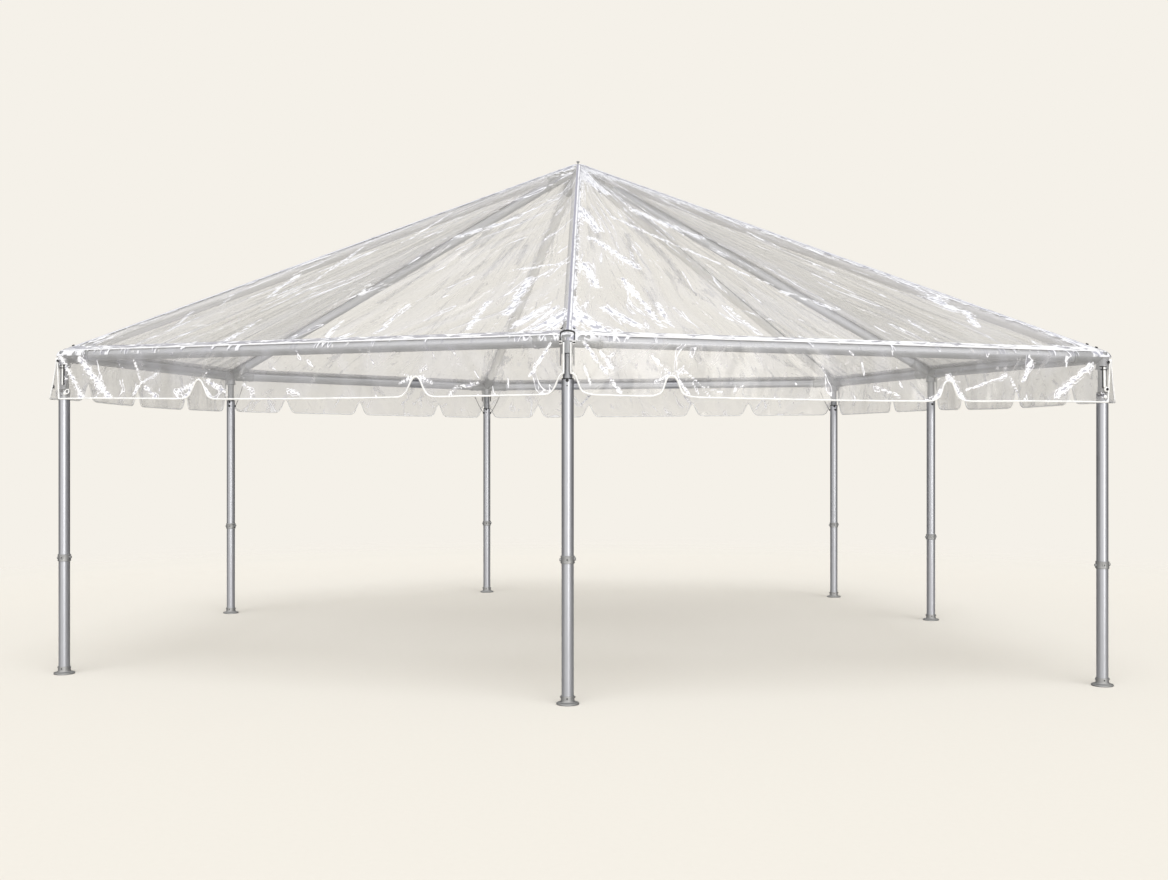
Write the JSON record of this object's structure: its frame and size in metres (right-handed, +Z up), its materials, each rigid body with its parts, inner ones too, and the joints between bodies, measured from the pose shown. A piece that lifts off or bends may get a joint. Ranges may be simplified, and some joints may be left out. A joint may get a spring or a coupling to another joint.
{
  "type": "marquee tent",
  "caption": "Frame tent: clear vinyl pyramid roof and scalloped valance on an open frame of aluminium tube legs, eave rails and rafters.",
  "frame": {"origin": "on the floor, under the middle of the box round the whole tent", "axes": "+X along the longest side, from the left front leg to the right front leg; the nearest corner leg stands at -Y; +Z up"},
  "size_m": [7.303, 6.323, 4.075],
  "materials": {
    "tube": "satin drawn tube",
    "fitting": "satin cast",
    "foot": "satin cast",
    "film": "clear vinyl, glossy, lightly creased"
  },
  "bodies": {
    "root": {"base_plate_left_front": "foot", "lower_leg_left_front": "tube", "upper_leg_left_front": "tube", "eave_fitting_left_front": "fitting", "rafter_left_front": "tube", "base_plate_front": "foot", "lower_leg_front": "tube", "upper_leg_front": "tube", "eave_fitting_front": "fitting", "rafter_front": "tube", "base_plate_right_front": "foot", "lower_leg_right_front": "tube", "upper_leg_right_front": "tube", "eave_fitting_right_front": "fitting", "rafter_right_front": "tube", "base_plate_right_back": "foot", "lower_leg_right_back": "tube", "upper_leg_right_back": "tube", "eave_fitting_right_back": "fitting", "rafter_right_back": "tube", "base_plate_back_right": "foot", "lower_leg_back_right": "tube", "upper_leg_back_right": "tube", "eave_fitting_back_right": "fitting", "rafter_back_right": "tube", "base_plate_back_left": "foot", "lower_leg_back_left": "tube", "upper_leg_back_left": "tube", "eave_fitting_back_left": "fitting", "rafter_back_left": "tube", "base_plate_left_back": "foot", "lower_leg_left_back": "tube", "upper_leg_left_back": "tube", "eave_fitting_left_back": "fitting", "rafter_left_back": "tube", "eave_rail_front_left": "tube", "roof_panel_front_left": "film", "valance_front_left": "film", "eave_rail_front_right": "tube", "roof_panel_front_right": "film", "valance_front_right": "film", "eave_rail_right": "tube", "roof_panel_right": "film", "valance_right": "film", "eave_rail_back_right": "tube", "roof_panel_back_right": "film", "valance_back_right": "film", "eave_rail_back": "tube", "roof_panel_back": "film", "valance_back": "film", "eave_rail_back_left": "tube", "roof_panel_back_left": "film", "valance_back_left": "film", "eave_rail_left": "tube", "roof_panel_left": "film", "valance_left": "film", "crown": "fitting"}
  },
  "joints": []
}
